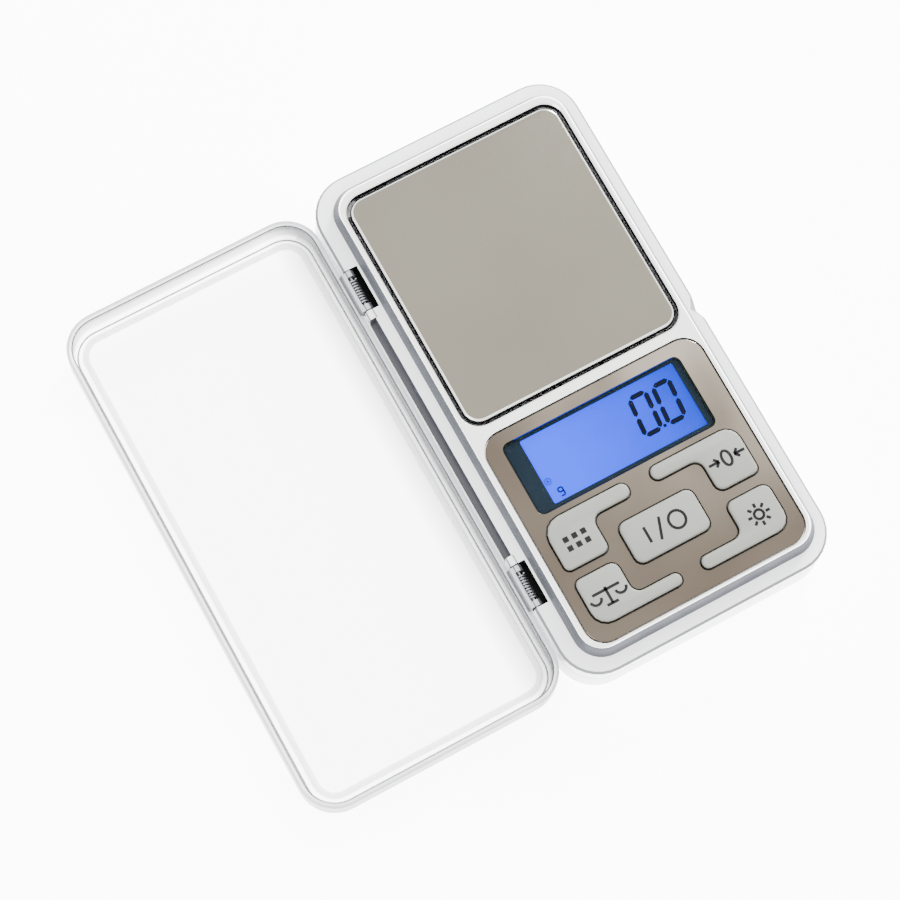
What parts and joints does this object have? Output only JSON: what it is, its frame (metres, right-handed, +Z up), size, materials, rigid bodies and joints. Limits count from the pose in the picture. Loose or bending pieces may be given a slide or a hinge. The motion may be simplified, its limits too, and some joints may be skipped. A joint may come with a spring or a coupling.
{
  "type": "pocket digital scale",
  "caption": "Slim pocket weighing scale with a square steel platform, backlit display, function keys and a clear flip-over lid that opens flat.",
  "frame": {"origin": "centre of the bounding box of the open scale, on the plane its feet stand on", "axes": "+X from the open lid across the hinge to the thumb notch, +Y from the keys to the platform end, +Z up"},
  "size_m": [0.121, 0.12, 0.0161],
  "materials": {
    "housing_silver": "pearl silver lacquer on moulded plastic",
    "shell_white": "fine-textured moulded plastic",
    "lid_clear": "polished clear moulding",
    "platform_steel": "fine satin",
    "panel_bronze": "bronze mirror film",
    "key_grey": "satin moulded",
    "window_clear": "polished clear window",
    "bezel_dark": "printed dark frame",
    "display_blue": "backlit liquid crystal",
    "light_guide": "frosted light guide",
    "board_green": "solder mask",
    "foot_rubber": "matt",
    "mat_rubber": "matt silicone",
    "cell_aluminium": "machined",
    "fastener_steel": "bright zinc",
    "cell_wrap": "printed sleeve",
    "potting": "white silicone coat",
    "cable_jacket": "PVC jacket"
  },
  "bodies": {
    "base": {"lower_housing": "shell_white", "upper_housing": "housing_silver", "face_panel": "panel_bronze", "display_lens": "window_clear", "display_bezel": "bezel_dark", "lcd_glass": "display_blue", "backlight_guide": "light_guide", "zebra_strip": "mat_rubber", "main_board": "board_green", "board_screw_1": "fastener_steel", "board_screw_2": "fastener_steel", "key_mat": "mat_rubber", "load_cell": "cell_aluminium", "load_cell_spacer": "cell_aluminium", "gauge_coating": "potting", "cell_screw_1": "fastener_steel", "cell_screw_2": "fastener_steel", "load_cell_cable": "cable_jacket", "housing_screw_1": "fastener_steel", "housing_screw_2": "fastener_steel", "housing_screw_3": "fastener_steel", "housing_screw_4": "fastener_steel", "foot_1": "foot_rubber", "foot_2": "foot_rubber", "foot_3": "foot_rubber", "foot_4": "foot_rubber", "battery_1": "cell_wrap", "battery_2": "cell_wrap", "contact_spring_1": "fastener_steel", "contact_spring_2": "fastener_steel", "contact_plate_1": "fastener_steel", "contact_plate_2": "fastener_steel", "hinge_pin_1": "fastener_steel", "hinge_pin_2": "fastener_steel", "hinge_spring_1": "fastener_steel", "hinge_spring_2": "fastener_steel"},
    "lid": {"lid_cover": "lid_clear"},
    "platform": {"weighing_platform": "platform_steel", "platform_carrier": "shell_white", "carrier_screw_1": "fastener_steel", "carrier_screw_2": "fastener_steel"},
    "power_key": {"key_power": "key_grey"},
    "tare_key": {"key_tare": "key_grey"},
    "light_key": {"key_light": "key_grey"},
    "pieces_key": {"key_pieces": "key_grey"},
    "units_key": {"key_units": "key_grey"},
    "door": {"battery_door": "shell_white"}
  },
  "joints": [
    {"name": "lid_hinge", "type": "hinge", "parent": "base", "child": "lid", "pos_m": [-0.00055, 0, 0.01115], "axis": [0, 1, 0], "range_deg": [0, 180]},
    {"name": "platform_travel", "type": "slide", "parent": "base", "child": "platform", "axis": [0, 0, -1], "range_m": [0, 0.0005], "stiffness_N_per_m": 6000},
    {"name": "power_key_press", "type": "slide", "parent": "base", "child": "power_key", "axis": [0, 0, -1], "range_m": [0, 0.0003], "stiffness_N_per_m": 1500},
    {"name": "tare_key_press", "type": "slide", "parent": "base", "child": "tare_key", "axis": [0, 0, -1], "range_m": [0, 0.0003], "stiffness_N_per_m": 1500},
    {"name": "light_key_press", "type": "slide", "parent": "base", "child": "light_key", "axis": [0, 0, -1], "range_m": [0, 0.0003], "stiffness_N_per_m": 1500},
    {"name": "pieces_key_press", "type": "slide", "parent": "base", "child": "pieces_key", "axis": [0, 0, -1], "range_m": [0, 0.0003], "stiffness_N_per_m": 1500},
    {"name": "units_key_press", "type": "slide", "parent": "base", "child": "units_key", "axis": [0, 0, -1], "range_m": [0, 0.0003], "stiffness_N_per_m": 1500},
    {"name": "battery_door_slide", "type": "slide", "parent": "base", "child": "door", "axis": [0, -1, 0], "range_m": [0, 0.031]}
  ]
}
